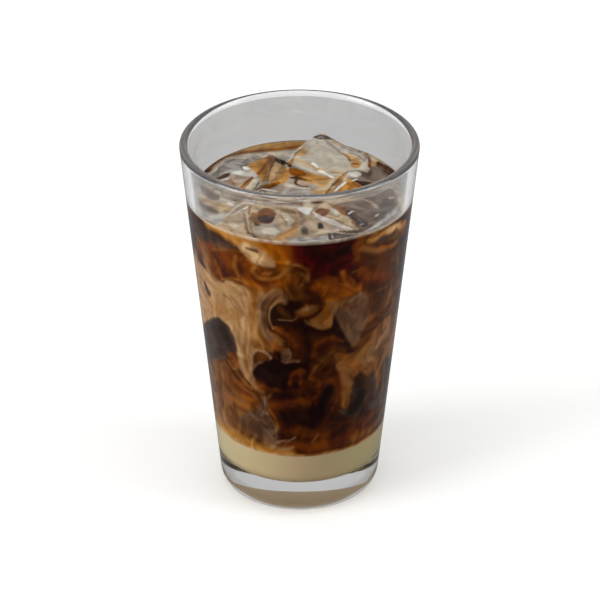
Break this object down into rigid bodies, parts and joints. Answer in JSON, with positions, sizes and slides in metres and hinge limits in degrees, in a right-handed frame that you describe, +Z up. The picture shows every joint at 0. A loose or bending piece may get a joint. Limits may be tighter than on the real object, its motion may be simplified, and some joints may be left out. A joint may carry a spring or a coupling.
{
  "type": "iced coffee with condensed milk in a glass",
  "caption": "Clear conical tumbler of iced coffee: a pale condensed milk layer at the bottom, swirled milky coffee above it and clear ice cubes floating at the top.",
  "frame": {"origin": "middle of the glass's flat underside, on the surface it stands on", "axes": "+Z up along the glass's axis; -Y towards the front, where the drink is looked at; +X to its right"},
  "size_m": [0.089, 0.089, 0.146],
  "materials": {
    "glass": "clear polished glass, thick at the base, with a rounded rim",
    "condensed_milk": "opaque creamy layer tinted beige by the coffee above it",
    "coffee": "near black and amber coffee with tan plumes of milk, wet and glossy",
    "ice": "wet clear ice with a cloudy core"
  },
  "bodies": {
    "root": {"glass": "glass", "condensed_milk": "condensed_milk", "coffee": "coffee", "ice_back_right": "ice", "ice_back_left": "ice", "ice_left": "ice", "ice_right": "ice", "ice_front_left": "ice"}
  },
  "joints": []
}
